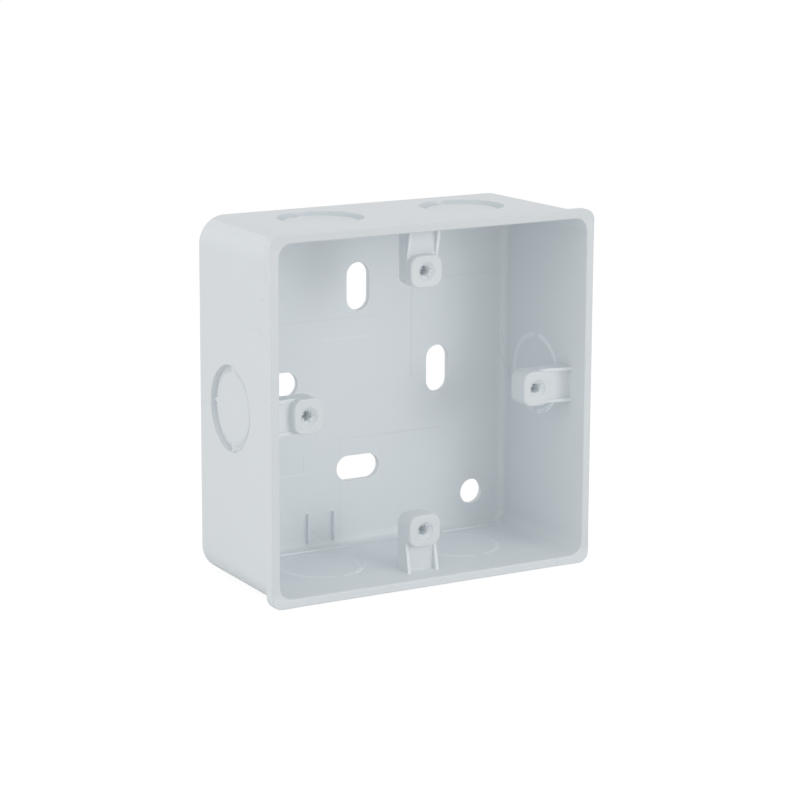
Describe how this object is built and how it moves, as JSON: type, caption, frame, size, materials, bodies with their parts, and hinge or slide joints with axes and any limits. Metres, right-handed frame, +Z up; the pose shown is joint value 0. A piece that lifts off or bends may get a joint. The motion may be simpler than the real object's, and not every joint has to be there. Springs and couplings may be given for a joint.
{
  "type": "junction box",
  "caption": "Shallow square plastic wall box, open at the front, with screw lugs on its walls, round conduit knockouts and slotted fixing holes in its back.",
  "frame": {"origin": "centre of the back face, which sits on the wall", "axes": "+Y into the wall, -Y out of the open front, +Z up as mounted, +X to the right seen from the front"},
  "size_m": [0.0842, 0.036, 0.0842],
  "materials": {
    "moulded_plastic": "satin"
  },
  "bodies": {
    "root": {"box": "moulded_plastic"}
  },
  "joints": []
}
